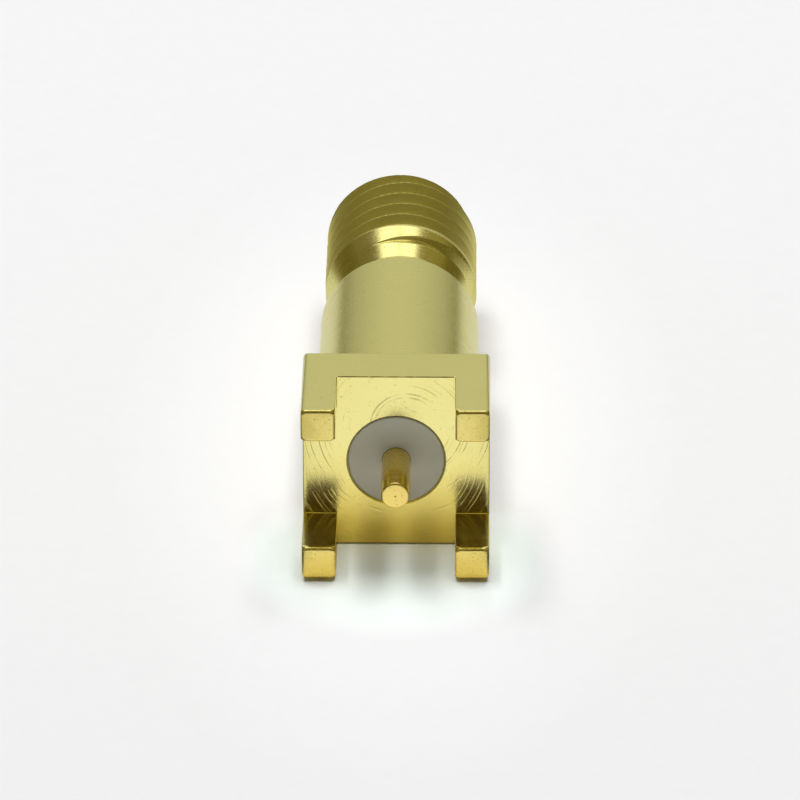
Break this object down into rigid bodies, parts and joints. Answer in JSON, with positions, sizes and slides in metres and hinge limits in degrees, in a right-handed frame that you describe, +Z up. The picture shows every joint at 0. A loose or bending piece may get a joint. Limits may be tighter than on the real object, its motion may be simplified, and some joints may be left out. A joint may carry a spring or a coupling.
{
  "type": "ssma connector",
  "caption": "Straight threaded coaxial jack for a printed board: gold-plated square flange with corner legs, plain barrel, threaded mating end, PTFE insulator and socket contact.",
  "frame": {"origin": "centre of the board-seating face of the flange, on the connector's axis", "axes": "+Y along the axis towards the threaded mating end, -Y towards the legs and the solder tail, +Z up with the connector lying on its side"},
  "size_m": [0.0056, 0.018, 0.0056],
  "materials": {
    "gold_plated_body": "gold plate over turned and milled brass, satin",
    "ptfe": "machined PTFE, matte",
    "gold_plated_contact": "gold plate over turned copper alloy, bright"
  },
  "bodies": {
    "root": {"body": "gold_plated_body", "insulator": "ptfe", "centre_contact": "gold_plated_contact"}
  },
  "joints": []
}
